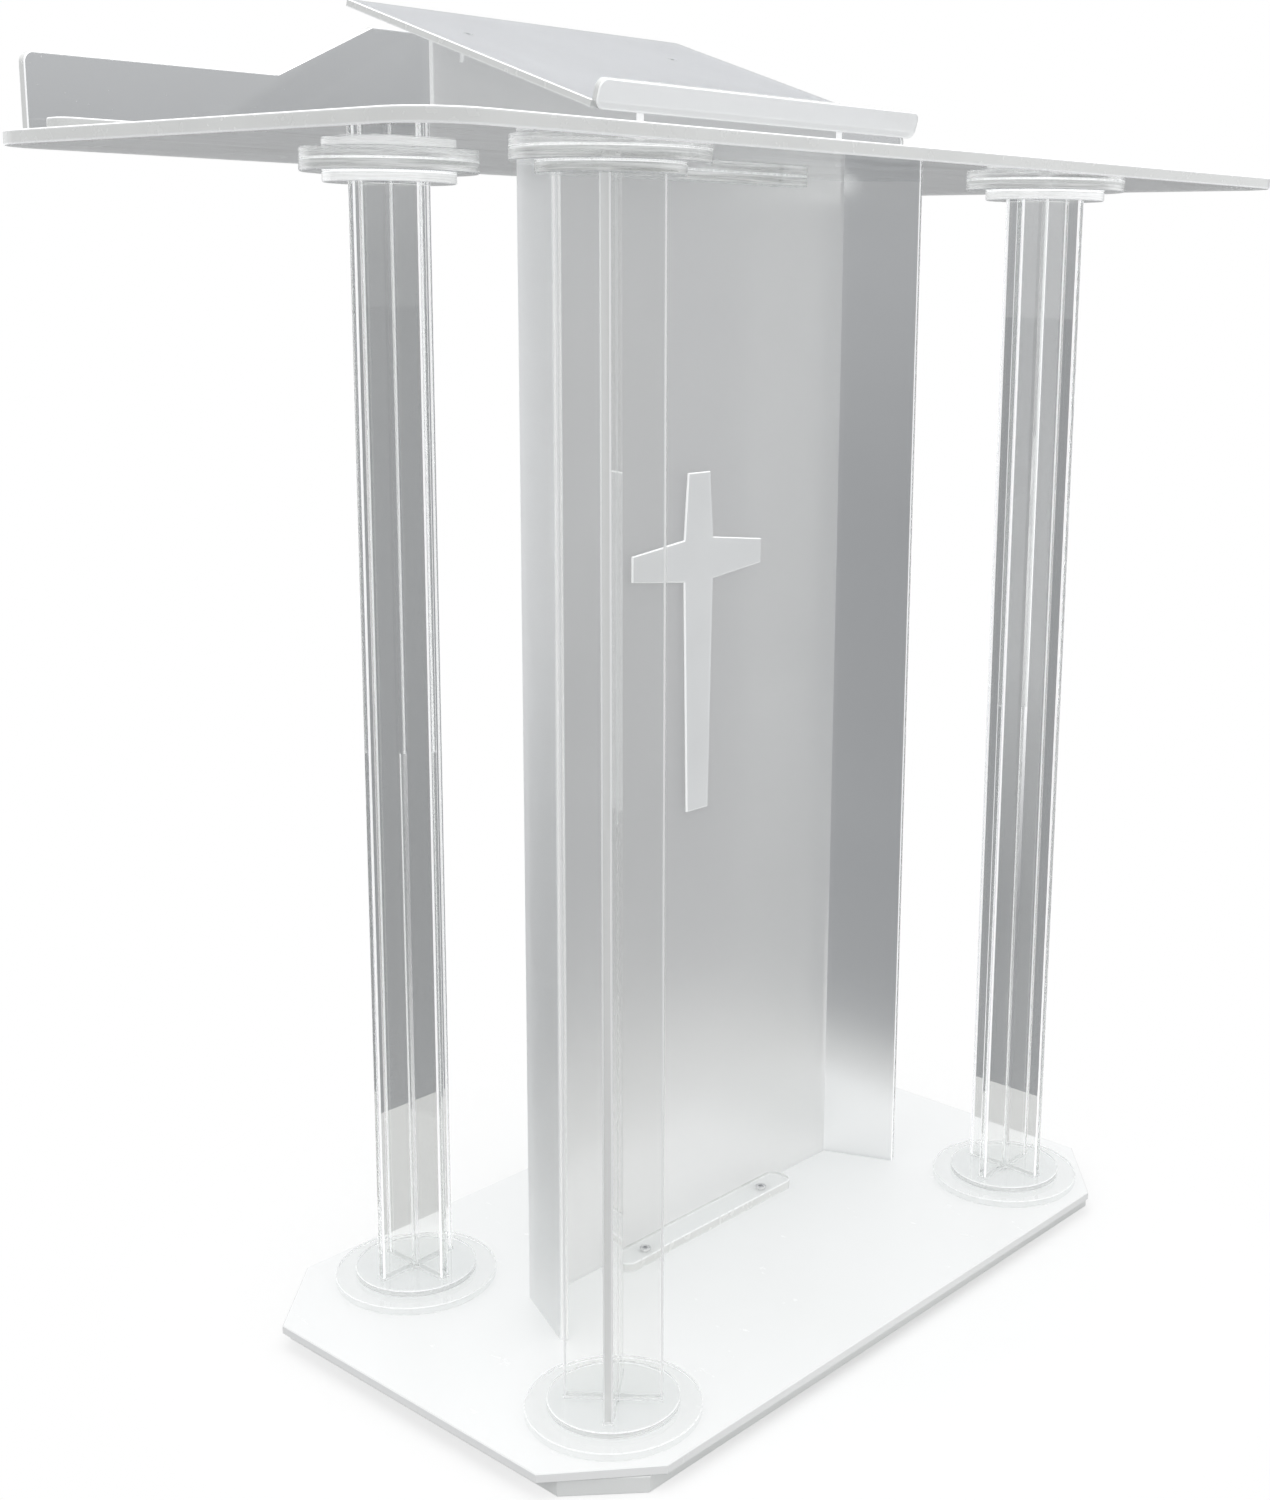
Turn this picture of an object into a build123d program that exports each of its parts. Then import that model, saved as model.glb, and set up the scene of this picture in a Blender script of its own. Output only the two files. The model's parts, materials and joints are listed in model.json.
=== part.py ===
from build123d import *
import os
from math import cos, radians, sin, tan

# Presentation lectern made of clear, frosted and white acrylic sheet, in millimetres.
# +Z is up, +Y points from the reader to the audience, +X is the reader's right hand.
# The origin is on the floor, under the middle of the top plate.

# Base: a white plate on a smaller plinth, both rectangles with cut corners
PLINTH_LENGTH = 717.0
PLINTH_WIDTH = 424.0
PLINTH_CORNER_X = 50.0
PLINTH_CORNER_Y = 48.0
PLINTH_THICKNESS = 14.0
BASE_LENGTH = 744.0
BASE_WIDTH = 441.0
BASE_CORNER_X = 74.0
BASE_CORNER_Y = 65.0
BASE_THICKNESS = 8.0

# Height from the base plate's upper face to the top plate's lower face
STAND_HEIGHT = 955.0

# Top plate
TOP_LENGTH = 1048.0
TOP_WIDTH = 494.0
TOP_THICKNESS = 10.0
TOP_CORNER_RADIUS = 45.0

# Columns: two interlocked blades each, held by a slotted disc on a wider disc
BLADE_WIDTH = 77.5
BLADE_THICKNESS = 8.0
BLADE_CORNER_RADIUS = 1.6
READER_COLUMN_X = 273.0
AUDIENCE_COLUMN_X = 241.5
COLUMN_Y = 138.5
TURNED_COLUMN_ANGLE = 38.5
WIDE_DISC_RADIUS = 70.0
SLOTTED_DISC_RADIUS = 52.5
FOOT_WIDE_THICKNESS = 7.0
FOOT_SLOTTED_THICKNESS = 6.0
COLLAR_WIDE_THICKNESS = 9.0
COLLAR_SLOTTED_THICKNESS = 8.0
SLOT_PLAY = 0.2

# Dowels that centre each wide disc on its plate
DOWEL_RADIUS = 4.0
DOWEL_DEPTH = 5.0

# Body: a main panel between the plates, with a flared wing at each end
PANEL_HALF_LENGTH = 195.5
PANEL_FRONT_Y = 28.0
PANEL_THICKNESS = 8.0
WING_TIP_X = 223.5
WING_TIP_Y = -37.5

# Emblem on the main panel's reader side: a cross whose arms narrow outwards
EMBLEM_THICKNESS = 2.0
EMBLEM_CENTRE_HEIGHT = 626.0
EMBLEM_TOP = 76.5
EMBLEM_BOTTOM = 226.5
EMBLEM_ARM = 82.8
EMBLEM_TIP_HALF = 11.0
EMBLEM_POST_TIP_HALF = 14.0
EMBLEM_INNER_HALF = 18.5

# Retaining bars at the panel's foot and head, and the same bars at the guard's foot
BAR_LENGTH = 228.0
BAR_DEPTH = 28.0
BAR_THICKNESS = 9.0
BAR_CORNER_RADIUS = 10.0
BAR_SCREW_X = 80.0
BAR_SCREW_INSET = 15.0

# Guard panel on the audience side of the top plate, raised behind the desk
GUARD_HALF_LENGTH = 513.0
GUARD_FRONT_Y = 198.0
GUARD_THICKNESS = 8.0
GUARD_END_HEIGHT = 54.0
GUARD_MIDDLE_HEIGHT = 98.0
GUARD_SHOULDER_OUTER_X = 300.0
GUARD_SHOULDER_INNER_X = 207.0
GUARD_CORNER_RADIUS = 8.0
GUARD_BAR_X = 389.0

# Desk: two supports carry the sloping reading surface, with a book stop at its lower edge
DESK_SLOPE = 17.8
DESK_FRONT_Y = -47.0
DESK_FRONT_RISE = 25.0
DESK_HALF_WIDTH = 198.0
DESK_LENGTH = 299.0
DESK_THICKNESS = 6.0
STOP_HEIGHT = 23.0
STOP_THICKNESS = 6.0
STOP_CORNER_RADIUS = 8.0
SUPPORT_LEFT_X = -145.0
SUPPORT_RIGHT_X = 98.0
SUPPORT_THICKNESS = 8.0
SUPPORT_FRONT_Y = -42.0
DESK_SCREW_ALONG = 212.0

# Flush socket screws
SCREW_HEAD_RADIUS = 4.5
SCREW_HEAD_HEIGHT = 4.0
SCREW_SHANK_RADIUS = 2.5
SCREW_LENGTH = 14.0
DESK_SCREW_HEAD_RADIUS = 4.0
DESK_SCREW_HEAD_HEIGHT = 2.6
DESK_SCREW_SHANK_RADIUS = 1.8
DESK_SCREW_LENGTH = 22.0
SOCKET_DEPTH = 1.8
HOLE_PLAY = 0.3

EDGE_BREAK = 0.8

BASE_TOP = PLINTH_THICKNESS + BASE_THICKNESS
PLATE_UNDERSIDE = BASE_TOP + STAND_HEIGHT
PLATE_TOP = PLATE_UNDERSIDE + TOP_THICKNESS
UPRIGHT = (Align.CENTER, Align.CENTER, Align.MIN)

COLUMNS = {
    "reader_left": (-READER_COLUMN_X, -COLUMN_Y, TURNED_COLUMN_ANGLE),
    "reader_right": (READER_COLUMN_X, -COLUMN_Y, 0.0),
    "audience_left": (-AUDIENCE_COLUMN_X, COLUMN_Y, 0.0),
    "audience_right": (AUDIENCE_COLUMN_X, COLUMN_Y, 0.0),
}

nodes = {}


def sheet(outline, bottom, thickness):
    """A flat sheet lying on a level, with both faces' edges broken."""
    solid = Pos(0, 0, bottom) * extrude(outline, thickness)
    faces = solid.faces().filter_by(Axis.Z)
    return chamfer(faces.edges(), EDGE_BREAK)


def cut_corner_rectangle(length, width, corner_x, corner_y):
    """A rectangle whose four corners are cut off, corner_x along it and corner_y across it."""
    x, y = length / 2, width / 2
    corners = []
    for x_sign, y_sign in ((1, 1), (-1, 1), (-1, -1), (1, -1)):
        cut = [(x_sign * x, y_sign * (y - corner_y)), (x_sign * (x - corner_x), y_sign * y)]
        corners += cut if x_sign == y_sign else cut[::-1]
    return make_face(Polyline(*corners, close=True))


def peg(radius, length):
    """A round peg or hole standing on its lower end."""
    return Cylinder(radius, length, align=UPRIGHT)


def socket_screw(head_radius, head_height, shank_radius, length):
    """A flush screw pointing down, its head's top at the origin."""
    head = Pos(0, 0, -head_height) * peg(head_radius, head_height)
    head = chamfer(head.edges().group_by(Axis.Z)[-1], 0.4)
    shank = Pos(0, 0, -length) * peg(shank_radius, length - head_height)
    socket = Pos(0, 0, -SOCKET_DEPTH) * extrude(RegularPolygon(head_radius * 0.5, 6), SOCKET_DEPTH)
    return head + shank - socket


def screw_hole(head_radius, head_height, shank_radius, length):
    """The stepped hole that takes a flush screw, its mouth at the origin."""
    mouth = Pos(0, 0, -head_height) * peg(head_radius + HOLE_PLAY, head_height + 1)
    bore = Pos(0, 0, -length - 1) * peg(shank_radius + HOLE_PLAY, length + 1)
    return mouth + bore


def bar_screw():
    return socket_screw(SCREW_HEAD_RADIUS, SCREW_HEAD_HEIGHT, SCREW_SHANK_RADIUS, SCREW_LENGTH)


def bar_screw_hole():
    return screw_hole(SCREW_HEAD_RADIUS, SCREW_HEAD_HEIGHT, SCREW_SHANK_RADIUS, SCREW_LENGTH)


def desk_screw():
    return socket_screw(
        DESK_SCREW_HEAD_RADIUS, DESK_SCREW_HEAD_HEIGHT, DESK_SCREW_SHANK_RADIUS, DESK_SCREW_LENGTH
    )


def desk_screw_hole():
    return screw_hole(
        DESK_SCREW_HEAD_RADIUS, DESK_SCREW_HEAD_HEIGHT, DESK_SCREW_SHANK_RADIUS, DESK_SCREW_LENGTH
    )


def retaining_bar():
    """A bar with rounded corners lying on its lower face, its back edge on Y = 0."""
    outline = Pos(0, -BAR_DEPTH / 2) * RectangleRounded(BAR_LENGTH, BAR_DEPTH, BAR_CORNER_RADIUS)
    return sheet(outline, 0, BAR_THICKNESS)


def bar_screw_places(mount):
    """Where a bar's two screws go in at its upper face."""
    return [mount * Pos(x, -BAR_SCREW_INSET, BAR_THICKNESS) for x in (-BAR_SCREW_X, BAR_SCREW_X)]


def group(solids):
    return Compound(children=solids)


# Where the four retaining bars lie
foot_bar_place = Pos(0, PANEL_FRONT_Y, BASE_TOP)
head_bar_place = Pos(0, PANEL_FRONT_Y - BAR_DEPTH, PLATE_UNDERSIDE) * Rot(180, 0, 0)
guard_bar_places = [Pos(x, GUARD_FRONT_Y, PLATE_TOP) for x in (-GUARD_BAR_X, GUARD_BAR_X)]

foot_screws = bar_screw_places(foot_bar_place)
head_screws = [
    Pos(x, PANEL_FRONT_Y - BAR_SCREW_INSET, PLATE_UNDERSIDE - BAR_THICKNESS) * Rot(180, 0, 0)
    for x in (-BAR_SCREW_X, BAR_SCREW_X)
]
guard_screws = [place for mount in guard_bar_places for place in bar_screw_places(mount)]

# Base
plinth_outline = cut_corner_rectangle(
    PLINTH_LENGTH, PLINTH_WIDTH, PLINTH_CORNER_X, PLINTH_CORNER_Y
)
nodes["base_plinth"] = sheet(plinth_outline, 0, PLINTH_THICKNESS)
base_outline = cut_corner_rectangle(BASE_LENGTH, BASE_WIDTH, BASE_CORNER_X, BASE_CORNER_Y)
base_plate = sheet(base_outline, PLINTH_THICKNESS, BASE_THICKNESS)
for x, y, angle in COLUMNS.values():
    base_plate -= Pos(x, y, BASE_TOP - DOWEL_DEPTH) * peg(DOWEL_RADIUS + HOLE_PLAY, DOWEL_DEPTH + 1)
for place in foot_screws:
    base_plate -= place * bar_screw_hole()
nodes["base_plate"] = base_plate

# Top plate
top_plate = sheet(
    RectangleRounded(TOP_LENGTH, TOP_WIDTH, TOP_CORNER_RADIUS), PLATE_UNDERSIDE, TOP_THICKNESS
)
for x, y, angle in COLUMNS.values():
    top_plate -= Pos(x, y, PLATE_UNDERSIDE - 1) * peg(DOWEL_RADIUS + HOLE_PLAY, DOWEL_DEPTH + 1)
for place in head_screws + guard_screws:
    top_plate -= place * bar_screw_hole()
nodes["top_plate"] = top_plate

# Columns: blade A is slotted from above, blade B from below, and they cross at mid-height
blade_bottom = BASE_TOP + FOOT_WIDE_THICKNESS
blade_top = PLATE_UNDERSIDE - COLLAR_WIDE_THICKNESS
blade_length = blade_top - blade_bottom
lap_slot = Box(
    BLADE_THICKNESS + SLOT_PLAY, BLADE_THICKNESS + 2, blade_length / 2 + 2, align=UPRIGHT
)
blade_a = Box(BLADE_WIDTH, BLADE_THICKNESS, blade_length, align=UPRIGHT)
blade_a = fillet(blade_a.edges().filter_by(Axis.Z), BLADE_CORNER_RADIUS)
blade_b = Rot(0, 0, 90) * blade_a
blade_a -= Pos(0, 0, blade_length / 2) * lap_slot
blade_b -= Pos(0, 0, -2) * Rot(0, 0, 90) * lap_slot
slot_width = BLADE_THICKNESS + 2 * SLOT_PLAY
slot_length = BLADE_WIDTH + 2 * SLOT_PLAY


def wide_disc(bottom, thickness):
    """A plain disc with a centre hole for its dowel."""
    return sheet(Circle(WIDE_DISC_RADIUS), bottom, thickness) - Pos(0, 0, bottom - 1) * peg(
        DOWEL_RADIUS + HOLE_PLAY, thickness + 2
    )


def slotted_disc(bottom, thickness):
    """A disc with a cross-shaped slot that grips the end of the two blades."""
    disc = sheet(Circle(SLOTTED_DISC_RADIUS), bottom, thickness)
    for length, width in ((slot_length, slot_width), (slot_width, slot_length)):
        disc -= Pos(0, 0, bottom - 1) * Box(length, width, thickness + 2, align=UPRIGHT)
    return disc


collar_slotted_bottom = blade_top - COLLAR_SLOTTED_THICKNESS
column_pieces = {
    "foot_wide_disc": wide_disc(BASE_TOP, FOOT_WIDE_THICKNESS),
    "foot_slotted_disc": slotted_disc(blade_bottom, FOOT_SLOTTED_THICKNESS),
    "blade_a": Pos(0, 0, blade_bottom) * blade_a,
    "blade_b": Pos(0, 0, blade_bottom) * blade_b,
    "collar_slotted_disc": slotted_disc(collar_slotted_bottom, COLLAR_SLOTTED_THICKNESS),
    "collar_wide_disc": wide_disc(blade_top, COLLAR_WIDE_THICKNESS),
}
for column, (x, y, angle) in COLUMNS.items():
    for name, piece in column_pieces.items():
        nodes[f"{name}_{column}"] = Pos(x, y, 0) * Rot(0, 0, angle) * piece

foot_dowel = Pos(0, 0, BASE_TOP - DOWEL_DEPTH) * peg(DOWEL_RADIUS, DOWEL_DEPTH + FOOT_WIDE_THICKNESS)
collar_dowel = Pos(0, 0, blade_top) * peg(DOWEL_RADIUS, DOWEL_DEPTH + COLLAR_WIDE_THICKNESS)
nodes["foot_dowels"] = group([Pos(x, y, 0) * foot_dowel for x, y, angle in COLUMNS.values()])
nodes["collar_dowels"] = group([Pos(x, y, 0) * collar_dowel for x, y, angle in COLUMNS.values()])

# Main panel and wings, seen from above
panel_back_y = PANEL_FRONT_Y + PANEL_THICKNESS
panel_outline = Pos(0, PANEL_FRONT_Y + PANEL_THICKNESS / 2) * Rectangle(
    2 * PANEL_HALF_LENGTH, PANEL_THICKNESS
)
nodes["main_panel"] = Pos(0, 0, BASE_TOP) * extrude(panel_outline, STAND_HEIGHT)

wing_run = Vector(WING_TIP_X - PANEL_HALF_LENGTH, WING_TIP_Y - PANEL_FRONT_Y)
wing_along = wing_run.normalized()
wing_out = Vector(-wing_along.Y, wing_along.X)
wing_tip = Vector(WING_TIP_X, WING_TIP_Y)
wing_outer_tip = wing_tip + wing_out * PANEL_THICKNESS
back_steps = (panel_back_y - wing_outer_tip.Y) / wing_along.Y
wing_outer_back = wing_outer_tip + wing_along * back_steps
wing_corners = [
    (PANEL_HALF_LENGTH, PANEL_FRONT_Y),
    (WING_TIP_X, WING_TIP_Y),
    (wing_outer_tip.X, wing_outer_tip.Y),
    (wing_outer_back.X, wing_outer_back.Y),
    (PANEL_HALF_LENGTH, panel_back_y),
]
wing_outline = make_face(Polyline(*wing_corners, close=True))
wing_right = Pos(0, 0, BASE_TOP) * extrude(wing_outline, STAND_HEIGHT)
tip_edges = wing_right.edges().filter_by(Axis.Z).sort_by(Axis.Y)[:2]
wing_right = chamfer(tip_edges, EDGE_BREAK)
nodes["wing_right"] = wing_right
nodes["wing_left"] = mirror(wing_right, about=Plane.YZ)

# Emblem, drawn upright and laid on the panel's reader side
half_emblem = [
    (0, EMBLEM_TOP),
    (EMBLEM_POST_TIP_HALF, EMBLEM_TOP),
    (EMBLEM_INNER_HALF, EMBLEM_INNER_HALF),
    (EMBLEM_ARM, EMBLEM_TIP_HALF),
    (EMBLEM_ARM, -EMBLEM_TIP_HALF),
    (EMBLEM_INNER_HALF, -EMBLEM_INNER_HALF),
    (EMBLEM_POST_TIP_HALF, -EMBLEM_BOTTOM),
    (0, -EMBLEM_BOTTOM),
]
emblem_plane = Plane(
    origin=(0, PANEL_FRONT_Y, BASE_TOP + EMBLEM_CENTRE_HEIGHT), x_dir=(1, 0, 0), z_dir=(0, -1, 0)
)
emblem_half = extrude(make_face(Polyline(*half_emblem, close=True)), EMBLEM_THICKNESS)
emblem = emblem_half + mirror(emblem_half, about=Plane.YZ)
emblem = chamfer(emblem.faces().sort_by(Axis.Z)[-1].edges(), EDGE_BREAK)
nodes["cross_emblem"] = emblem_plane * emblem

# Retaining bars and their screws
drilled_bar = retaining_bar()
for place in bar_screw_places(Pos(0, 0, 0)):
    drilled_bar -= place * bar_screw_hole()
nodes["foot_bar"] = foot_bar_place * drilled_bar
nodes["head_bar"] = mirror(
    Pos(0, PANEL_FRONT_Y, 0) * drilled_bar, about=Plane.XY
).moved(Location((0, 0, PLATE_UNDERSIDE)))
nodes["guard_bar_left"] = guard_bar_places[0] * drilled_bar
nodes["guard_bar_right"] = guard_bar_places[1] * drilled_bar
nodes["foot_bar_screws"] = group([place * bar_screw() for place in foot_screws])
nodes["head_bar_screws"] = group([place * bar_screw() for place in head_screws])
nodes["guard_bar_screws"] = group([place * bar_screw() for place in guard_screws])

# Guard panel, drawn upright from the top plate
guard_corners = [
    (-GUARD_HALF_LENGTH, 0),
    (-GUARD_HALF_LENGTH, GUARD_END_HEIGHT),
    (-GUARD_SHOULDER_OUTER_X, GUARD_END_HEIGHT),
    (-GUARD_SHOULDER_INNER_X, GUARD_MIDDLE_HEIGHT),
    (GUARD_SHOULDER_INNER_X, GUARD_MIDDLE_HEIGHT),
    (GUARD_SHOULDER_OUTER_X, GUARD_END_HEIGHT),
    (GUARD_HALF_LENGTH, GUARD_END_HEIGHT),
    (GUARD_HALF_LENGTH, 0),
]
guard_face = make_face(Polyline(*guard_corners, close=True))
end_corners = guard_face.vertices().filter_by_position(
    Axis.Y, GUARD_END_HEIGHT - 1, GUARD_END_HEIGHT + 1
).sort_by(Axis.X)
guard_face = fillet([end_corners[0], end_corners[-1]], GUARD_CORNER_RADIUS)
guard_plane = Plane(
    origin=(0, GUARD_FRONT_Y + GUARD_THICKNESS, PLATE_TOP), x_dir=(1, 0, 0), z_dir=(0, -1, 0)
)
guard = extrude(guard_face, GUARD_THICKNESS)
guard = chamfer(guard.faces().filter_by(Axis.Z).edges(), EDGE_BREAK)
nodes["guard_panel"] = guard_plane * guard

# Desk: its frame starts at the book stop's lower front corner and runs up the slope
desk_place = Pos(0, DESK_FRONT_Y, PLATE_TOP + DESK_FRONT_RISE) * Rot(DESK_SLOPE, 0, 0)
surface = Pos(0, STOP_THICKNESS + DESK_LENGTH / 2, 0) * extrude(
    Rectangle(2 * DESK_HALF_WIDTH, DESK_LENGTH), DESK_THICKNESS
)
surface = chamfer(surface.edges().group_by(Axis.Z)[-1], EDGE_BREAK)
desk_screws = [
    desk_place * Pos(x, DESK_SCREW_ALONG, DESK_THICKNESS) for x in (SUPPORT_LEFT_X, SUPPORT_RIGHT_X)
]
surface = desk_place * surface
for place in desk_screws:
    surface -= place * desk_screw_hole()
nodes["reading_surface"] = surface

stop_outline = RectangleRounded(2 * DESK_HALF_WIDTH, STOP_HEIGHT, STOP_CORNER_RADIUS)
stop = extrude(Pos(0, STOP_HEIGHT / 2) * stop_outline, STOP_THICKNESS)
stop = chamfer(stop.faces().filter_by(Axis.Z).edges(), EDGE_BREAK)
stop_plane = Plane(origin=(0, STOP_THICKNESS, 0), x_dir=(1, 0, 0), z_dir=(0, -1, 0))
nodes["book_stop"] = desk_place * (stop_plane * stop)

support_back_rise = DESK_FRONT_RISE + (GUARD_FRONT_Y - DESK_FRONT_Y) * tan(radians(DESK_SLOPE))
support_front_rise = DESK_FRONT_RISE + (SUPPORT_FRONT_Y - DESK_FRONT_Y) * tan(radians(DESK_SLOPE))
support_corners = [
    (SUPPORT_FRONT_Y, 0),
    (GUARD_FRONT_Y, 0),
    (GUARD_FRONT_Y, support_back_rise),
    (SUPPORT_FRONT_Y, support_front_rise),
]
support = extrude(make_face(Polyline(*support_corners, close=True)), SUPPORT_THICKNESS)
for side, x in (("left", SUPPORT_LEFT_X), ("right", SUPPORT_RIGHT_X)):
    support_plane = Plane(
        origin=(x - SUPPORT_THICKNESS / 2, 0, PLATE_TOP), x_dir=(0, 1, 0), z_dir=(1, 0, 0)
    )
    drilled_support = support_plane * support
    for place in desk_screws:
        drilled_support -= place * desk_screw_hole()
    nodes[f"desk_support_{side}"] = drilled_support
nodes["desk_screws"] = group([place * desk_screw() for place in desk_screws])

os.makedirs("parts", exist_ok=True)
for name, shape in nodes.items():
    export_step(shape, f"parts/{name}.step")
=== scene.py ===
"""The presentation lectern in a plain studio: clear and frosted acrylic on a white base.

Everything is in metres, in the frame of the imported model: +Z is up, +Y runs from the reader to
the audience and +X is the reader's right.
"""

import json
import math

import bpy
from mathutils import Matrix, Vector


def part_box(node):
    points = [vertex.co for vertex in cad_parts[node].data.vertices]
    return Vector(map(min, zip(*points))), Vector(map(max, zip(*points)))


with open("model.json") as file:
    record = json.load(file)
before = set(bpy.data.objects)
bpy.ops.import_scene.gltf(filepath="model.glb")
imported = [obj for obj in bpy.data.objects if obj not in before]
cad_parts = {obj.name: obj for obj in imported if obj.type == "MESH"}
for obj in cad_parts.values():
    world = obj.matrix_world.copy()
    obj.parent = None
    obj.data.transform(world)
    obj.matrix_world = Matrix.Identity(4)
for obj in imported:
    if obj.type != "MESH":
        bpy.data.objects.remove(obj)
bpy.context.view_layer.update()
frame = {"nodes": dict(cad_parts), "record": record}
nodes = frame["nodes"]

# Camera: a reader-side corner view from a little under the top plate
CAMERA_PLACE = (-1.2573, -1.1203, 0.9013)
CAMERA_AZIMUTH = math.radians(49.359)  # from +Y towards +X
CAMERA_PITCH = math.radians(11.856)  # downwards
CAMERA_ROLL = math.radians(0.768)
CAMERA_LENS = 47.07
CAMERA_SHIFT = (-0.0807, -0.0491)
CAMERA_NEAREST = 0.05

# Studio: the camera sees it white, and what the acrylic refracts and reflects is a grey room
WHITE = (1.0, 1.0, 1.0, 1)
ROOM_WALL = (0.292, 0.30, 0.31, 1)
ROOM_WALL_PALE = (0.37, 0.378, 0.388, 1)
ROOM_MAT = (0.60, 0.602, 0.595, 1)
ROOM_CEILING = (0.90, 0.905, 0.92, 1)
CEILING_START = 0.42  # the upward part of a direction at which the wall has become the ceiling
ROOM_WINDOW = (1.35, 1.36, 1.38, 1)
# Painted sheen: the far floor glows this bright for reflected rays only
ROOM_PAINTED_SHEEN = (0.43, 0.435, 0.44, 1)  # the far floor, as polished faces mirror it
# A window's direction from the lectern, and the cosines off it where its glow starts and is full
RIGHT_WINDOW = ((0.866, -0.5, 0.0), 0.83, 0.98)
BACK_WINDOW = ((-0.05, 1.0, 0.0), 0.90, 0.98)
SOFT_FILL = (0.76, 0.765, 0.77, 1)  # what a matte surface gathers from all round
FLOOR_PALE = (0.90, 0.90, 0.895, 1)
FLOOR_PALEST = (0.93, 0.93, 0.925, 1)
MAT_HALF_X = 0.502  # the pale mat under the lectern, which the acrylic shows against the room
MAT_HALF_Y = 0.470
FLOOR_HALF = 30.0
FLOOR_FADE_START = 0.05  # the floor's shadows fade to the studio's white from here outwards
FLOOR_FADE_END = 0.55
# Painted reflection: beyond this the far floor glows with the windows, which the camera itself
# doesn't see
WINDOW_FLOOR_START = 1.2  # the floor shines back the windows from here outwards
WINDOW_FLOOR_END = 3.0
# A lamp's radiance is what a reflection of it would show
LAMPS = {
    "top_softbox": {
        "place": (-0.2, -0.1, 3.2),
        "aim": (0, 0, 0.5),
        "size": (2.6, 2.6),
        "radiance": 1.9,
    },
    "left_softbox": {
        "place": (-3.4, -0.4, 2.4),
        "aim": (0, 0, 0.6),
        "size": (2.2, 1.8),
        "radiance": 1.7,
    },
    "front_softbox": {
        "place": (0.6, -3.4, 0.8),
        "aim": (0, 0, 0.1),
        "size": (2.4, 1.4),
        "radiance": 1.3,
    },
}

# Acrylic
ACRYLIC_IOR = 1.49
CLEAR_COOL = (0.965, 0.975, 0.978, 1)
CLEAR_NEUTRAL = (0.975, 0.976, 0.968, 1)
CLEAR_PALE = (0.985, 0.986, 0.984, 1)
CLEAREST = 0.985
FROST_WARM = (0.985, 0.98, 0.973, 1)
FROST_PALE = (0.99, 0.988, 0.985, 1)
DESK_SHADE = (0.70, 0.71, 0.73, 1)
DESK_PALE = (0.73, 0.74, 0.76, 1)
# Painted highlight: the paler tint that a cut edge takes along its two arrises
ARRIS_PAINTED_HIGHLIGHT = (0.96, 0.965, 0.965, 1)
# What light keeps when it crosses a surface on its way to a matte one
CLEAR_TINT = (0.98, 0.982, 0.982, 1)
EDGE_TINT = (0.92, 0.925, 0.925, 1)
CORNER_TINT = (0.92, 0.92, 0.92, 1)
FROST_TINT = (0.85, 0.86, 0.86, 1)
ROD_TINT = (0.7, 0.7, 0.7, 1)
EMBLEM_TINT = (0.6, 0.6, 0.6, 1)
# How a texture is stretched: small along an axis draws it out, large packs it
EVEN = (1, 1, 1)
RIM_GRAIN = (1, 1, 35)  # the cutter's marks run round a disc's rim
BLADE_GRAIN = (1, 1, 0.04)  # and along a blade
RIPPLE_GRAIN = (0.12, 1, 1)  # the top plate's ripples run along it
# Each acrylic piece is drawn this much slimmer, so that light crosses air between two pieces
AIR_GAP = 0.00005

# How a facet of a sheet is told apart, by how far its normal leans off the sheet's own normal
FACE_COSINE = 0.98
EDGE_COSINE = 0.10
FACE, EDGE, CORNER = range(3)

COLUMN_NAMES = ("reader_left", "reader_right", "audience_left", "audience_right")
TURNED_COLUMN = "reader_left"

# Where pieces are cemented, light crosses as if they were one: up to a radius off the column's
# axis, at each of these heights. Whatever stands on the base is cemented to it.
foot_low, foot_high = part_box("foot_wide_disc_" + TURNED_COLUMN)
slot_low, slot_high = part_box("foot_slotted_disc_" + TURNED_COLUMN)
collar_low, collar_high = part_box("collar_wide_disc_" + TURNED_COLUMN)
WIDE_RADIUS = (foot_high.x - foot_low.x) / 2
SLOTTED_RADIUS = (slot_high.x - slot_low.x) / 2
FAR_OFF = 10.0
BONDS = (
    (foot_low.z, FAR_OFF),
    (foot_high.z, SLOTTED_RADIUS),
    (collar_low.z, SLOTTED_RADIUS),
    (collar_high.z, WIDE_RADIUS),
)
BOND_DEPTH = 0.0003


# ---------------------------------------------------------------- node trees


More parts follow.
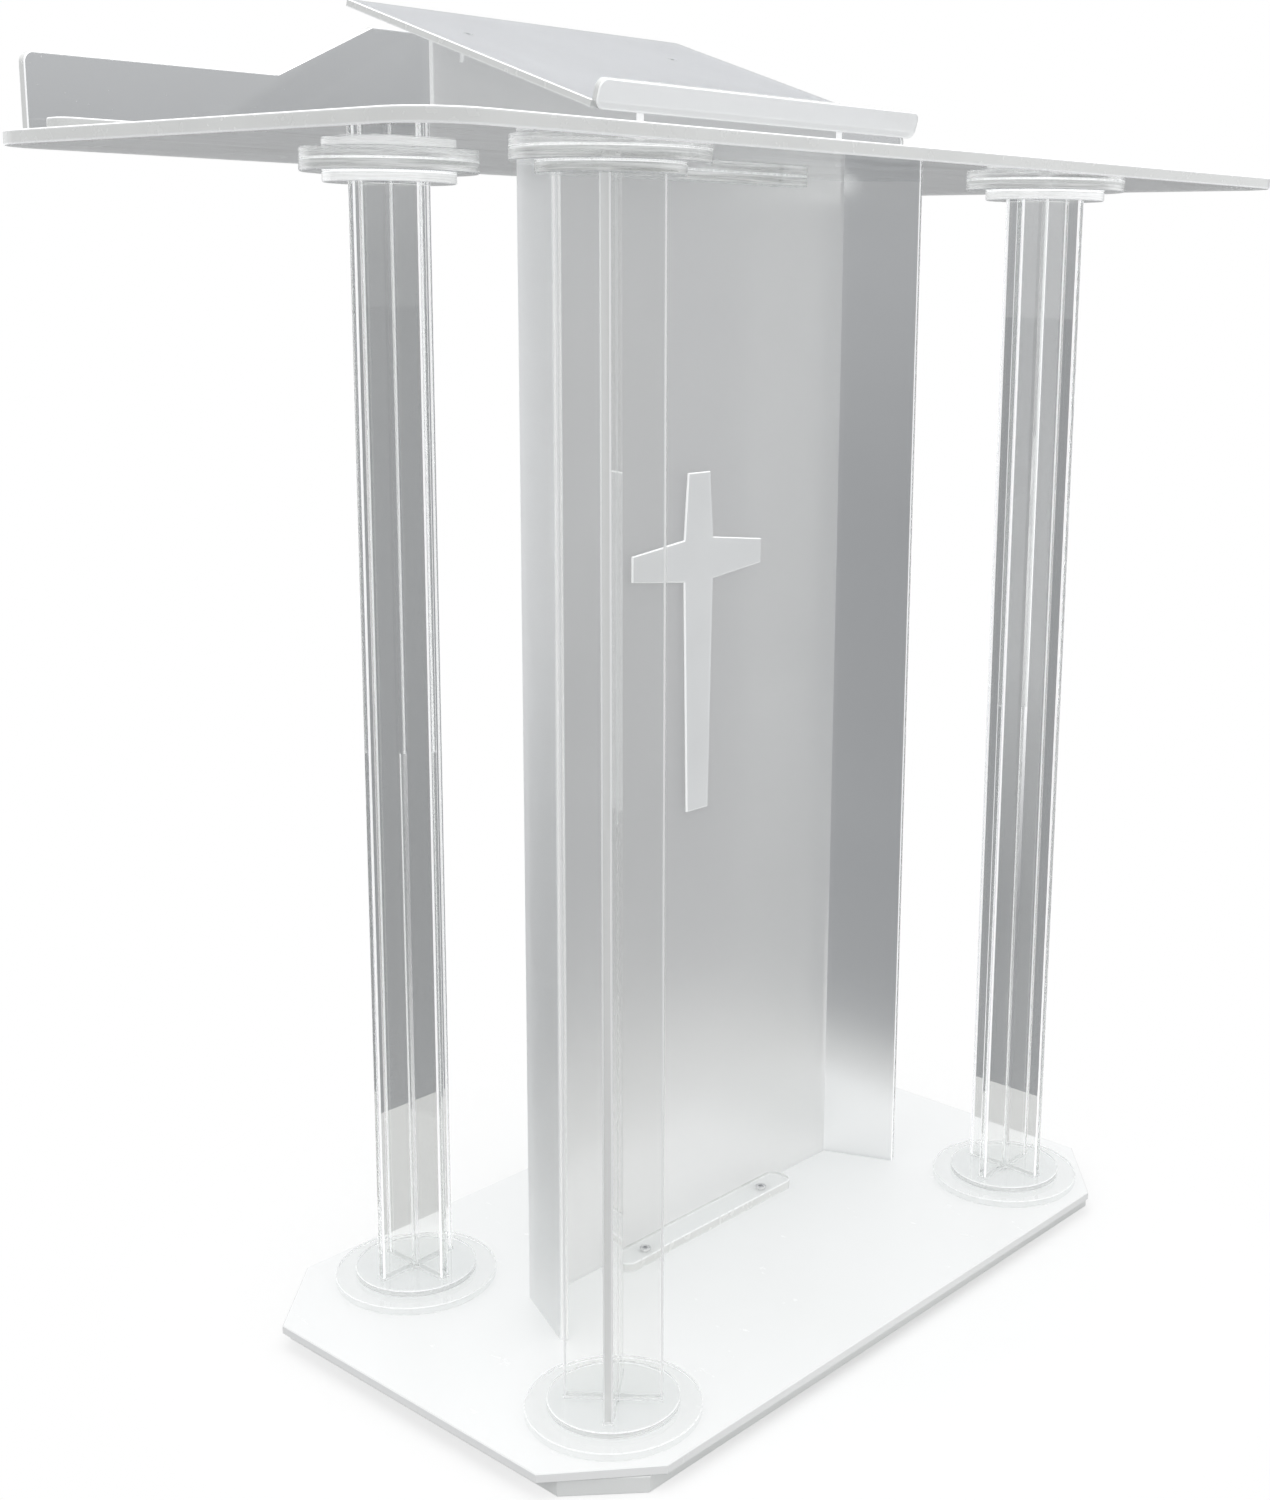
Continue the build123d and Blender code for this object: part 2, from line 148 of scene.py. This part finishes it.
class Tree:
    """A new material's or world's node tree, with short calls to add nodes and join them."""

    def __init__(self, owner):
        owner.use_nodes = True
        self.tree = owner.node_tree
        self.tree.nodes.clear()

    def fill(self, socket, value):
        """Links a socket to this one, or gives this one a value."""
        if isinstance(value, bpy.types.NodeSocket):
            self.tree.links.new(value, socket)
        else:
            socket.default_value = value

    def add(self, kind, settings=None, **inputs):
        """A node of this kind. An input's name has _ for a space, and _0 names one by number."""
        node = self.tree.nodes.new(kind)
        for name, value in (settings or {}).items():
            setattr(node, name, value)
        for name, value in inputs.items():
            key = int(name[1:]) if name[1:].isdigit() else name.replace("_", " ")
            self.fill(node.inputs[key], value)
        return node

    def place(self, stretch=EVEN):
        """Coordinates in metres on the object, stretched."""
        where = self.add("ShaderNodeTexCoord").outputs["Object"]
        return self.add("ShaderNodeMapping", Vector=where, Scale=stretch).outputs[0]

    def noise(self, scale, detail=3.0, roughness=0.5, stretch=EVEN):
        return self.add(
            "ShaderNodeTexNoise",
            Vector=self.place(stretch),
            Scale=scale,
            Detail=detail,
            Roughness=roughness,
        ).outputs["Fac"]

    def specks(self, scale, size):
        """1 in small round specks scattered over the surface, 0 between them."""
        cells = self.add("ShaderNodeTexVoronoi", Vector=self.place(), Scale=scale, Randomness=1.0)
        return self.math("LESS_THAN", cells.outputs["Distance"], size)

    def spread(self, value, low, high, start=0.3, end=0.7):
        """The value from start to end, brought to low to high."""
        return self.add(
            "ShaderNodeMapRange",
            Value=value,
            From_Min=start,
            From_Max=end,
            To_Min=low,
            To_Max=high,
        ).outputs[0]

    def math(self, operation, first, second=0.0):
        return self.add("ShaderNodeMath", {"operation": operation}, _0=first, _1=second).outputs[0]

    def vector_math(self, operation, **inputs):
        return self.add("ShaderNodeVectorMath", {"operation": operation}, **inputs).outputs

    def mix_number(self, factor, first, second):
        node = self.add("ShaderNodeMix", {"data_type": "FLOAT"}, _0=factor, _2=first, _3=second)
        return node.outputs[0]

    def mix(self, factor, first, second):
        """Two colours mixed."""
        node = self.add("ShaderNodeMix", {"data_type": "RGBA"}, _0=factor, _6=first, _7=second)
        return node.outputs[2]

    def bump(self, height, strength, distance, normal=None):
        inputs = {"Height": height, "Strength": strength, "Distance": distance}
        if normal is not None:
            inputs["Normal"] = normal
        return self.add("ShaderNodeBump", **inputs).outputs[0]


def window_glow(t, direction):
    """1 where a direction from the lectern points at a bright window, 0 away from them."""
    unit = t.vector_math("NORMALIZE", _0=direction)[0]
    glows = []
    for aim, near, full in (RIGHT_WINDOW, BACK_WINDOW):
        along = t.vector_math("DOT_PRODUCT", _0=unit, _1=aim)["Value"]
        glows.append(t.spread(along, 0.0, 1.0, start=near, end=full))
    return t.math("MAXIMUM", *glows)


def room_wall(t, direction):
    """The grey wall, a little uneven."""
    patches = t.add("ShaderNodeTexNoise", Vector=direction, Scale=2.5, Detail=2.0).outputs["Fac"]
    pale = t.spread(patches, 0.0, 1.0, start=0.35, end=0.65)
    return t.mix(pale, ROOM_WALL, ROOM_WALL_PALE)


def column_distance(t, where):
    """How far a point is from the axis of the nearest column."""
    flat = t.vector_math("MULTIPLY", _0=where, _1=(1, 1, 0))[0]
    nearest = FAR_OFF
    for name in COLUMN_NAMES:
        low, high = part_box("foot_wide_disc_" + name)
        axis = ((low.x + high.x) / 2, (low.y + high.y) / 2, 0.0)
        off = t.vector_math("DISTANCE", _0=flat, _1=axis)["Value"]
        nearest = t.math("MINIMUM", off, nearest)
    return nearest


def bonded(t):
    """1 on the surfaces where the columns' discs and blades are cemented together, else 0."""
    where = t.add("ShaderNodeTexCoord").outputs["Object"]
    height = t.add("ShaderNodeSeparateXYZ", Vector=where).outputs["Z"]
    distance = column_distance(t, where)
    joined = 0.0
    for level, radius in BONDS:
        off = t.math("ABSOLUTE", t.math("SUBTRACT", height, level))
        level_here = t.math("LESS_THAN", off, BOND_DEPTH)
        inside = t.math("LESS_THAN", distance, radius + BOND_DEPTH)
        joined = t.math("MAXIMUM", t.math("MULTIPLY", level_here, inside), joined)
    return joined


def lights_matte(t, path):
    """1 for a ray that has left a matte surface, which gathers the studio's soft fill, else 0."""
    return t.math("MINIMUM", path["Diffuse Depth"], 1.0)


def new_material(name):
    material = bpy.data.materials.new(name)
    return material, Tree(material)


def finish_solid(t, surface):
    t.add("ShaderNodeOutputMaterial", Surface=surface)


def finish_glass(t, surface, shadow_tint, gone=None):
    """Lets the studio's light through the glass with a plain tint, in place of caustics.

    Where gone is 1, the surface isn't there at all.
    """
    path = t.add("ShaderNodeLightPath").outputs
    passes = t.math("MAXIMUM", path["Is Shadow Ray"], path["Is Diffuse Ray"])
    if gone is not None:
        passes = t.math("MAXIMUM", passes, gone)
    clear = t.add("ShaderNodeBsdfTransparent", Color=shadow_tint).outputs[0]
    mixed = t.add("ShaderNodeMixShader", _0=passes, _1=surface, _2=clear)
    t.add("ShaderNodeOutputMaterial", Surface=mixed.outputs[0])


# ---------------------------------------------------------------- materials of a sheet's facets


def clear_acrylic(name, shade, wear=1.0, ripple=0.0):
    """Polished face: clear, with hairline scratches, smudges and a little dust."""
    m, t = new_material(name)
    tint = t.mix(t.noise(3.0), shade, CLEAR_PALE)
    smears = t.noise(9.0, detail=5.0, roughness=0.6)
    smudge = t.spread(smears, 0.0, 0.03 * wear, start=0.5, end=0.85)
    dust = t.math("MAXIMUM", t.specks(90.0, size=0.04), t.specks(34.0, size=0.018))
    clouds = t.noise(14.0, detail=6.0, roughness=0.65)
    haze = t.spread(clouds, CLEAREST, CLEAREST - 0.025 * wear)
    clearness = t.math("SUBTRACT", haze, t.math("MULTIPLY", dust, 0.5 * wear))
    waves = t.bump(t.noise(2.2, detail=1.0), strength=0.03, distance=0.01)
    if ripple:
        ripples = t.noise(30.0, detail=3.0, roughness=0.6, stretch=RIPPLE_GRAIN)
        waves = t.bump(ripples, strength=ripple, distance=0.002, normal=waves)
    scratches = t.noise(160.0, detail=4.0, roughness=0.7, stretch=(1, 1, 0.04))
    glass = t.add(
        "ShaderNodeBsdfPrincipled",
        Base_Color=tint,
        Roughness=smudge,
        IOR=ACRYLIC_IOR,
        Transmission_Weight=clearness,
        Normal=t.bump(scratches, strength=0.004, distance=0.0003, normal=waves),
    )
    finish_glass(t, glass.outputs[0], CLEAR_TINT, bonded(t))
    return m


def frosted_acrylic(name, shade, pale, clearness, glow=0.0):
    """Frosted face: blurs what is behind it, with a very fine even grain."""
    m, t = new_material(name)
    tint = t.mix(t.noise(5.0), shade, pale)
    grain = t.noise(1400.0, detail=2.0, roughness=0.6)
    glass = t.add(
        "ShaderNodeBsdfPrincipled",
        Base_Color=tint,
        Roughness=t.spread(t.noise(7.0, detail=4.0), 0.30, 0.36),
        IOR=ACRYLIC_IOR,
        Transmission_Weight=t.spread(t.noise(4.0, detail=3.0), *clearness),
        # Painted glow: a set glow makes the face give off white light, though it is no lamp
        Emission_Color=WHITE,
        Emission_Strength=glow,
        Normal=t.bump(grain, strength=0.15, distance=0.0002),
    )
    finish_glass(t, glass.outputs[0], FROST_TINT)
    return m


def emblem_acrylic():
    """Pale satin face of the cut-out emblem, a shade lighter than the panel behind it."""
    m, t = new_material("emblem_acrylic")
    tint = t.mix(t.noise(18.0), (0.93, 0.94, 0.94, 1), (0.965, 0.97, 0.97, 1))
    pale = t.add(
        "ShaderNodeBsdfPrincipled",
        Base_Color=tint,
        Roughness=t.spread(t.noise(40.0), 0.3, 0.42),
        IOR=ACRYLIC_IOR,
        Transmission_Weight=t.spread(t.noise(12.0), 0.25, 0.35),
        Normal=t.bump(t.noise(900.0), strength=0.08, distance=0.0002),
    )
    finish_glass(t, pale.outputs[0], EMBLEM_TINT)
    return m


def cut_edge(name, dark, pale, clearness, gloss, grain=EVEN, glow=0.0):
    """Machine-cut edge, flame polished, with fine cutter marks; a painted highlight makes it paler
    along both arrises.
    """
    m, t = new_material(name)
    across = t.add("ShaderNodeAttribute", {"attribute_name": "across"}).outputs["Fac"]
    # Painted highlight along the edge's two arrises, by how far across the sheet a point lies
    arris_highlight = t.spread(t.math("ABSOLUTE", across), 0.0, 1.0, start=0.62, end=0.85)
    streaks = t.noise(12.0, detail=3.0, roughness=0.6, stretch=grain)
    streaks = t.spread(streaks, 0.0, 1.0, start=0.35, end=0.65)
    tint = t.mix(arris_highlight, t.mix(streaks, dark, pale), ARRIS_PAINTED_HIGHLIGHT)
    marks = t.noise(90.0, detail=3.0, roughness=0.5, stretch=grain)
    glass = t.add(
        "ShaderNodeBsdfPrincipled",
        Base_Color=tint,
        Roughness=t.spread(marks, *gloss),
        IOR=ACRYLIC_IOR,
        Transmission_Weight=t.mix_number(streaks, *clearness),
        # Painted glow: a set glow makes the edge give off white light, though it is no lamp
        Emission_Color=WHITE,
        Emission_Strength=glow,
        Normal=t.bump(marks, strength=0.002, distance=0.0001),
    )
    finish_glass(t, glass.outputs[0], EDGE_TINT, bonded(t))
    return m


def broken_corner(name, clearness, glow, grain=EVEN):
    """The broken corner of a polished edge, painted near-white as the highlight where the real
    sheet gathers its light into a white line; glow adds a painted glow.
    """
    m, t = new_material(name)
    # Painted highlight: the corner is drawn near-white and milky
    tint = t.mix(t.noise(60.0), (0.95, 0.955, 0.955, 1), (0.99, 0.99, 0.99, 1))
    white = t.add(
        "ShaderNodeBsdfPrincipled",
        Base_Color=tint,
        Roughness=t.spread(t.noise(120.0, stretch=grain), 0.15, 0.4),
        IOR=ACRYLIC_IOR,
        Transmission_Weight=t.spread(t.noise(30.0, stretch=grain), *clearness),
        # Painted glow: white light the corner gives off, though it is no lamp
        Emission_Color=WHITE,
        Emission_Strength=glow,
    )
    finish_glass(t, white.outputs[0], CORNER_TINT)
    return m


def make_faces():
    """The sheets' faces, by a short name."""
    warm = (FROST_WARM, FROST_PALE)
    cool = (CLEAR_COOL, FROST_PALE)
    return {
        "clear": clear_acrylic("clear_acrylic", CLEAR_COOL),
        "column": clear_acrylic("column_acrylic", CLEAR_NEUTRAL, wear=0.2),
        "top": clear_acrylic("top_acrylic", CLEAR_COOL, ripple=0.06),
        "panel": frosted_acrylic("frosted_panel", *warm, clearness=(0.77, 0.81)),
        "wing": frosted_acrylic("frosted_wing", *cool, clearness=(0.96, 0.985)),
        "pale_wing": frosted_acrylic("frosted_pale_wing", *cool, clearness=(0.84, 0.88)),
        "desk": frosted_acrylic("frosted_desk", DESK_SHADE, DESK_PALE, clearness=(0.70, 0.76)),
        # The book stop carries a painted glow
        "stop": frosted_acrylic("frosted_stop_painted_glow", *cool, clearness=(0.45, 0.5), glow=0.09),
        "emblem": emblem_acrylic(),
    }


def make_edges():
    """The sheets' cut edges, by a short name."""
    return {
        "milky": cut_edge(
            "milky_edge",
            dark=(0.79, 0.795, 0.78, 1),
            pale=(0.84, 0.845, 0.83, 1),
            clearness=(0.03, 0.07),
            gloss=(0.2, 0.3),
        ),
        "polished": cut_edge(
            "polished_edge",
            dark=(0.95, 0.96, 0.955, 1),
            pale=(0.98, 0.985, 0.98, 1),
            clearness=(0.9, 0.96),
            gloss=(0.02, 0.07),
        ),
        "blade": cut_edge(
            "blade_edge",
            dark=(0.95, 0.96, 0.955, 1),
            pale=(0.98, 0.985, 0.98, 1),
            clearness=(0.9, 0.96),
            gloss=(0.02, 0.07),
            grain=BLADE_GRAIN,
        ),
        "satin": cut_edge(
            "satin_edge_painted_glow",
            dark=(0.87, 0.87, 0.86, 1),
            pale=(0.95, 0.95, 0.94, 1),
            clearness=(0.25, 0.35),
            gloss=(0.1, 0.2),
            grain=BLADE_GRAIN,
            # Painted glow on the left wing's satin edges
            glow=0.13,
        ),
        "turned": cut_edge(
            "turned_edge",
            dark=(0.77, 0.775, 0.765, 1),
            pale=(0.85, 0.85, 0.84, 1),
            clearness=(0.25, 0.35),
            gloss=(0.1, 0.2),
            grain=BLADE_GRAIN,
        ),
        "foot_rim": cut_edge(
            "foot_edge",
            dark=(0.70, 0.71, 0.70, 1),
            pale=(0.94, 0.94, 0.935, 1),
            clearness=(0.6, 0.75),
            gloss=(0.1, 0.2),
            grain=RIM_GRAIN,
        ),
        "rim": cut_edge(
            "rim_edge",
            dark=(0.72, 0.725, 0.71, 1),
            pale=(0.98, 0.98, 0.975, 1),
            clearness=(0.8, 0.4),
            gloss=(0.1, 0.2),
            grain=RIM_GRAIN,
        ),
        "pale_rim_painted_glow": cut_edge(
            "pale_edge_painted_glow",
            dark=(0.80, 0.80, 0.79, 1),
            pale=(0.99, 0.99, 0.985, 1),
            clearness=(0.60, 0.15),
            gloss=(0.1, 0.2),
            grain=RIM_GRAIN,
            # Painted glow on the pale rims of the collars' slotted discs
            glow=0.16,
        ),
    }


def make_corners():
    """The sheets' broken corners, by a short name."""
    return {
        # Painted highlight on every corner; those named bright also carry a painted glow
        "bright": broken_corner("bright_corner_painted_glow", clearness=(0.0, 0.1), glow=0.25),
        "soft": broken_corner("soft_corner", clearness=(0.1, 0.2), glow=0.0),
        "blade_glow_painted": broken_corner(
            "blade_corner_painted_glow", clearness=(0.0, 0.1), glow=0.25, grain=BLADE_GRAIN
        ),
        "blade_soft": broken_corner(
            "satin_corner", clearness=(0.1, 0.2), glow=0.0, grain=BLADE_GRAIN
        ),
    }


# ---------------------------------------------------------------- materials of plain pieces


def white_plate():
    """Glossy white acrylic with faint scuffs and dust."""
    m, t = new_material("base_plate")
    grime = t.noise(6.0, detail=5.0)
    tint = t.mix(grime, (0.87, 0.875, 0.87, 1), (0.905, 0.907, 0.905, 1))
    dust = t.math("MULTIPLY", t.specks(120.0, size=0.03), 0.25)
    scuffs = t.noise(60.0, detail=6.0, roughness=0.7, stretch=(1, 0.4, 1))
    white = t.add(
        "ShaderNodeBsdfPrincipled",
        Base_Color=t.mix(dust, tint, (0.62, 0.62, 0.6, 1)),
        Roughness=t.spread(scuffs, 0.2, 0.28),
        IOR=ACRYLIC_IOR,
        Normal=t.bump(scuffs, strength=0.01, distance=0.0002),
    )
    finish_solid(t, white.outputs[0])
    return m


def grey_plinth():
    """Satin pale grey acrylic, with cutter marks along its edge."""
    m, t = new_material("base_plinth")
    clouds = t.noise(20.0, detail=4.0)
    tint = t.mix(clouds, (0.765, 0.775, 0.765, 1), (0.825, 0.835, 0.825, 1))
    marks = t.noise(300.0, detail=3.0, roughness=0.6, stretch=(1, 1, 0.05))
    grey = t.add(
        "ShaderNodeBsdfPrincipled",
        Base_Color=tint,
        Roughness=t.spread(marks, 0.35, 0.5),
        Normal=t.bump(marks, strength=0.1, distance=0.0003),
    )
    finish_solid(t, grey.outputs[0])
    return m


def pale_rod():
    """Pale drawn acrylic rod, with rings left by the saw."""
    m, t = new_material("dowel_plastic")
    tint = t.mix(t.noise(80.0), (0.88, 0.89, 0.89, 1), (0.95, 0.95, 0.95, 1))
    rings = t.noise(500.0, detail=2.0, roughness=0.5, stretch=(0.1, 0.1, 1))
    pale = t.add(
        "ShaderNodeBsdfPrincipled",
        Base_Color=tint,
        Roughness=t.spread(rings, 0.2, 0.35),
        Transmission_Weight=t.spread(t.noise(60.0), 0.2, 0.35),
        Normal=t.bump(rings, strength=0.1, distance=0.0002),
    )
    finish_glass(t, pale.outputs[0], ROD_TINT)
    return m


def screw_steel():
    """Stainless steel, turned, with a fine grain."""
    m, t = new_material("screw_steel")
    tint = t.mix(t.noise(900.0), (0.70, 0.71, 0.72, 1), (0.84, 0.85, 0.86, 1))
    grain = t.noise(2500.0, detail=2.0, roughness=0.5)
    steel = t.add(
        "ShaderNodeBsdfPrincipled",
        Base_Color=tint,
        Metallic=1.0,
        Roughness=t.spread(grain, 0.22, 0.4),
        Normal=t.bump(grain, strength=0.1, distance=0.0001),
    )
    finish_solid(t, steel.outputs[0])
    return m


# ---------------------------------------------------------------- which piece gets which material


def sheet_normal(mesh):
    """The direction that a sheet faces: the facet normal with the most area behind it."""
    totals = {}
    for p in mesh.polygons:
        n = p.normal if max(p.normal, key=abs) > 0 else -p.normal
        key = tuple(round(c, 1) for c in n)
        area, summed = totals.get(key, (0.0, Vector()))
        totals[key] = (area + p.area, summed + n * p.area)
    largest = max(totals.values(), key=lambda total: total[0])
    return largest[1].normalized()


def leave_air(name):
    """Draws a piece a hair slimmer, by a modifier."""
    gap = nodes[name].modifiers.new("air_gap", "DISPLACE")
    gap.direction = "NORMAL"
    gap.mid_level = 0.0
    gap.strength = -AIR_GAP


def dress_sheet(name, face, edge, corner):
    """Gives a sheet's polished faces, its cut edges and its broken corners their own materials.

    The attribute "across" is a point's place through the sheet, from -1 to 1.
    """
    mesh = nodes[name].data
    normal = sheet_normal(mesh)
    depths = [v.co.dot(normal) for v in mesh.vertices]
    middle = (max(depths) + min(depths)) / 2
    half = (max(depths) - min(depths)) / 2
    across = mesh.attributes.new("across", "FLOAT", "POINT")
    across.data.foreach_set("value", [(d - middle) / half for d in depths])
    mesh.materials.clear()
    for m in (face, edge, corner):
        mesh.materials.append(m)
    for p in mesh.polygons:
        lean = abs(p.normal.dot(normal))
        p.material_index = FACE if lean > FACE_COSINE else EDGE if lean < EDGE_COSINE else CORNER


def sheet_look(name, slot):
    """The short names of a sheet's face, edge and corner materials."""
    turned = name.endswith(TURNED_COLUMN)
    if name.startswith("blade_"):
        return ("column", "turned", "blade_soft") if turned else ("column", "blade", "blade_glow_painted")
    if name.startswith("foot_slotted_disc"):
        return "column", "foot_rim", "soft"
    if name.startswith("foot_wide_disc"):
        return "column", "polished", "soft"
    # The other columns' slotted collars get the pale rim with its painted glow
    if name.startswith("collar_slotted_disc") and not turned:
        return "column", "pale_rim_painted_glow", "bright"
    if name.startswith(("collar_", "head_bar")):
        return "column", "rim", "soft"
    if name.startswith("desk_support"):
        return "panel", "bright", "bright"
    by_name = {
        "main_panel": ("panel", "polished", "bright"),
        "wing_left": ("pale_wing", "satin", "blade_soft"),
        "reading_surface": ("desk", "milky", "bright"),
        "book_stop": ("stop", "milky", "bright"),
        "foot_bar": ("column", "milky", "soft"),
        "top_plate": ("top", "milky", "bright"),
    }
    by_slot = {
        "clear_acrylic": ("clear", "milky", "bright"),
        "frosted_acrylic": ("wing", "polished", "bright"),
        "emblem_acrylic": ("emblem", "bright", "bright"),
    }
    return by_name.get(name) or by_slot[slot]


def dress_all():
    looks = {**make_faces(), **make_edges(), **make_corners()}
    plain = {
        "base_plate": white_plate(),
        "base_plinth": grey_plinth(),
        "dowel_plastic": pale_rod(),
        "screw_steel": screw_steel(),
    }
    for part in frame["record"]["subparts"]:
        name, slot = part["node"], part["material_slot"]
        leave_air(name)
        if slot in plain:
            nodes[name].data.materials.clear()
            nodes[name].data.materials.append(plain[slot])
        else:
            dress_sheet(name, *(looks[look] for look in sheet_look(name, slot)))


# ---------------------------------------------------------------- studio


def make_world():
    world = bpy.data.worlds.new("studio")
    bpy.context.scene.world = world
    t = Tree(world)
    path = t.add("ShaderNodeLightPath").outputs
    direction = t.add("ShaderNodeTexCoord").outputs["Generated"]
    height = t.add("ShaderNodeSeparateXYZ", Vector=direction).outputs["Z"]
    up = t.spread(height, 0.0, 1.0, start=0.0, end=CEILING_START)
    walls = t.mix(window_glow(t, direction), room_wall(t, direction), ROOM_WINDOW)
    room = t.mix(up, walls, ROOM_CEILING)
    lit = t.mix(lights_matte(t, path), room, SOFT_FILL)
    seen = t.mix(path["Is Camera Ray"], lit, WHITE)
    background = t.add("ShaderNodeBackground", Color=seen, Strength=1.0)
    t.add("ShaderNodeOutputWorld", Surface=background.outputs[0])
    world.cycles.sampling_method = "NONE"


def floor_paint():
    """A matte pale floor that fades to the studio's white, with the grey room for the acrylic."""
    m, t = new_material("studio_floor")
    path = t.add("ShaderNodeLightPath").outputs
    where = t.add("ShaderNodeTexCoord").outputs["Object"]
    xyz = t.add("ShaderNodeSeparateXYZ", Vector=where).outputs
    off_x = t.math("GREATER_THAN", t.math("ABSOLUTE", xyz[0]), MAT_HALF_X)
    off_y = t.math("GREATER_THAN", t.math("ABSOLUTE", xyz[1]), MAT_HALF_Y)
    off_mat = t.math("MAXIMUM", off_x, off_y)
    length = t.vector_math("LENGTH", _0=where)["Value"]
    far = t.spread(length, 0.0, 1.0, start=FLOOR_FADE_START, end=FLOOR_FADE_END)

    bent = t.math("MAXIMUM", path["Is Transmission Ray"], path["Is Glossy Ray"])
    bent = t.math("SUBTRACT", bent, lights_matte(t, path))
    mirrored = t.math("SUBTRACT", path["Is Reflection Ray"], lights_matte(t, path))
    paint = t.mix(t.noise(9.0, detail=4.0), FLOOR_PALE, FLOOR_PALEST)
    matte = t.add("ShaderNodeBsdfDiffuse", Color=t.mix(bent, paint, ROOM_MAT)).outputs[0]

    # Painted reflection of the windows on the far floor
    painted_window_shine = t.spread(length, 0.0, 1.0, start=WINDOW_FLOOR_START, end=WINDOW_FLOOR_END)
    painted_window_shine = t.math("MULTIPLY", painted_window_shine, window_glow(t, where))
    room = t.mix(painted_window_shine, t.mix(mirrored, ROOM_WALL, ROOM_PAINTED_SHEEN), ROOM_WINDOW)
    seen = t.mix(path["Is Camera Ray"], room, WHITE)
    glow = t.add("ShaderNodeEmission", Color=seen).outputs[0]

    beyond = t.mix_number(bent, far, off_mat)
    mixed = t.add("ShaderNodeMixShader", _0=beyond, _1=matte, _2=glow)
    t.add("ShaderNodeOutputMaterial", Surface=mixed.outputs[0])
    return m


def make_floor():
    mesh = bpy.data.meshes.new("studio_floor")
    h = FLOOR_HALF
    mesh.from_pydata([(-h, -h, 0), (h, -h, 0), (h, h, 0), (-h, h, 0)], [], [(0, 1, 2, 3)])
    floor = bpy.data.objects.new("studio_floor", mesh)
    bpy.context.scene.collection.objects.link(floor)
    mesh.materials.append(floor_paint())


def softbox(name, place, aim, size, radiance):
    """A rectangular soft light that no reflection or refraction shows."""
    light = bpy.data.lights.new(name, "AREA")
    light.shape = "RECTANGLE"
    light.size, light.size_y = size
    light.energy = radiance * math.pi * size[0] * size[1]
    lamp = bpy.data.objects.new(name, light)
    bpy.context.scene.collection.objects.link(lamp)
    lamp.location = place
    lamp.rotation_euler = (Vector(aim) - Vector(place)).to_track_quat("-Z", "Y").to_euler()
    lamp.visible_camera = False
    lamp.visible_glossy = False
    lamp.visible_transmission = False


def make_lights():
    for name, settings in LAMPS.items():
        softbox(name, **settings)


def make_camera():
    az, pitch, roll = CAMERA_AZIMUTH, CAMERA_PITCH, CAMERA_ROLL
    forward = Vector(
        (math.sin(az) * math.cos(pitch), math.cos(az) * math.cos(pitch), -math.sin(pitch))
    )
    level = Vector((math.cos(az), -math.sin(az), 0))
    upright = level.cross(forward)
    right = level * math.cos(roll) + upright * math.sin(roll)
    up = upright * math.cos(roll) - level * math.sin(roll)
    data = bpy.data.cameras.new("camera")
    camera = bpy.data.objects.new("camera", data)
    bpy.context.scene.collection.objects.link(camera)
    turn = Matrix((right, up, -forward)).transposed().to_4x4()
    camera.matrix_world = Matrix.Translation(CAMERA_PLACE) @ turn
    data.lens = CAMERA_LENS
    data.shift_x, data.shift_y = CAMERA_SHIFT
    data.clip_start = CAMERA_NEAREST
    bpy.context.scene.camera = camera


def set_look():
    """Plain colours, and bounces enough to cross a column's stacked sheets."""
    scene = bpy.context.scene
    scene.view_settings.view_transform = "Standard"
    scene.cycles.max_bounces = 28
    scene.cycles.diffuse_bounces = 4
    scene.cycles.glossy_bounces = 10
    scene.cycles.transmission_bounces = 28
    scene.cycles.transparent_max_bounces = 24
    scene.cycles.sample_clamp_indirect = 4.0


dress_all()
make_world()
make_floor()
make_lights()
make_camera()
set_look()
